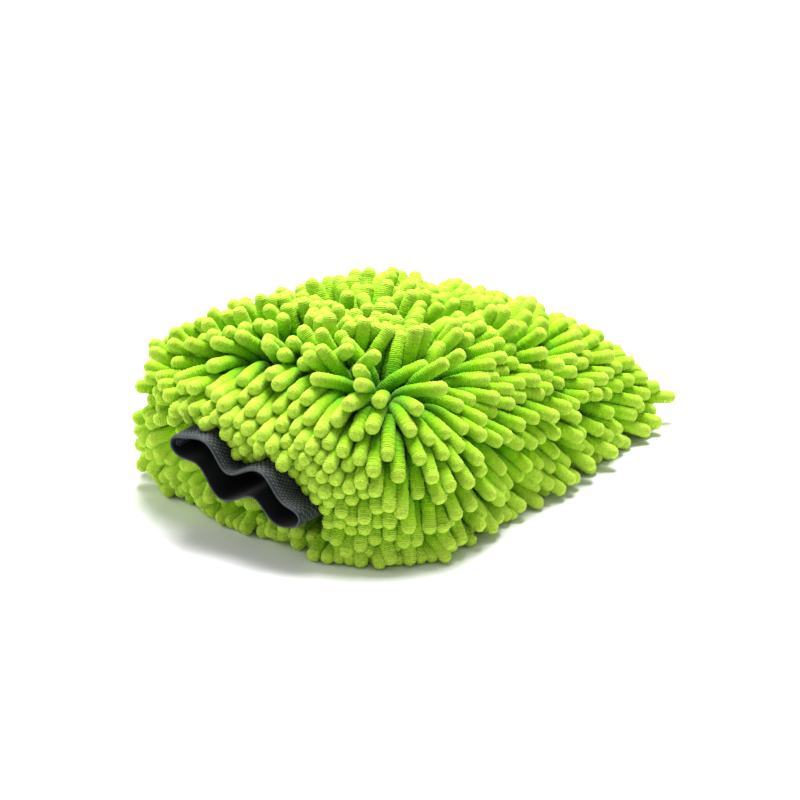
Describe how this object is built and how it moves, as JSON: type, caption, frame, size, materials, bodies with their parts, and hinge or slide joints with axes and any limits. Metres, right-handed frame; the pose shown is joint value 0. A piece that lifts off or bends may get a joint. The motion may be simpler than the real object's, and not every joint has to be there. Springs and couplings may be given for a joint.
{
  "type": "chenille wash mitt",
  "caption": "Soft pouch-shaped wash mitt covered in rows of thick lime-green chenille noodles, lined inside, with a black elastic knitted cuff for the hand.",
  "frame": {"origin": "on the surface the mitt lies on, under the middle of its box", "axes": "+Y runs from the cuff's rim to the fingertips, +Z from the palm side up to the back of the hand, +X to the right when looking in through the cuff"},
  "size_m": [0.198, 0.28, 0.0992],
  "materials": {
    "chenille_pile": "soft matt chenille pile",
    "ground_fabric": "matt knitted ground fabric",
    "lining_knit": "matt black brushed knit",
    "elastic_knit": "matt black ribbed elastic knit",
    "seam_thread": "matt overlock thread"
  },
  "bodies": {
    "root": {"cuff_band": "elastic_knit", "cuff_join_seam": "seam_thread", "neck_seam": "seam_thread", "edge_seam": "seam_thread", "back_lining": "lining_knit", "palm_lining": "lining_knit", "back_backing": "ground_fabric", "palm_backing": "ground_fabric", "back_row_1": "chenille_pile", "back_row_2": "chenille_pile", "back_row_3": "chenille_pile", "back_row_4": "chenille_pile", "back_row_5": "chenille_pile", "back_row_6": "chenille_pile", "back_row_7": "chenille_pile", "back_row_8": "chenille_pile", "back_row_9": "chenille_pile", "back_row_10": "chenille_pile", "back_row_11": "chenille_pile", "back_row_12": "chenille_pile", "back_row_13": "chenille_pile", "back_row_14": "chenille_pile", "back_row_15": "chenille_pile", "palm_row_1": "chenille_pile", "palm_row_2": "chenille_pile", "palm_row_3": "chenille_pile", "palm_row_4": "chenille_pile", "palm_row_5": "chenille_pile", "palm_row_6": "chenille_pile", "palm_row_7": "chenille_pile", "palm_row_8": "chenille_pile", "palm_row_9": "chenille_pile", "palm_row_10": "chenille_pile", "palm_row_11": "chenille_pile", "palm_row_12": "chenille_pile", "palm_row_13": "chenille_pile", "palm_row_14": "chenille_pile", "palm_row_15": "chenille_pile"}
  },
  "joints": []
}
